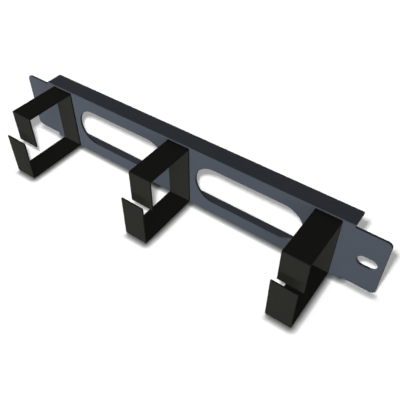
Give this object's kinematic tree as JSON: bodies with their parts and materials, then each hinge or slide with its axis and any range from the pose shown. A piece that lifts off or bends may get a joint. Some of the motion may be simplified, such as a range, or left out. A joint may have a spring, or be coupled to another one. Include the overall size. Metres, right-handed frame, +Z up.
{
  "type": "rack cable management panel",
  "caption": "Folded sheet-steel rack panel with slotted ears and oblong cut-outs; open square rings on its front hold cables that run across it.",
  "frame": {"origin": "midway between the two ear slots, on the rear face of the sheet that lies against the rack posts", "axes": "+X along the panel to the right as seen from the front, +Y back into the rack, +Z up"},
  "size_m": [0.254, 0.0537, 0.0428],
  "materials": {
    "panel_coat": "matte",
    "ring_coat": "matte"
  },
  "bodies": {
    "root": {"panel_sheet": "panel_coat", "ring_left": "ring_coat", "ring_middle": "ring_coat", "ring_right": "ring_coat"}
  },
  "joints": []
}
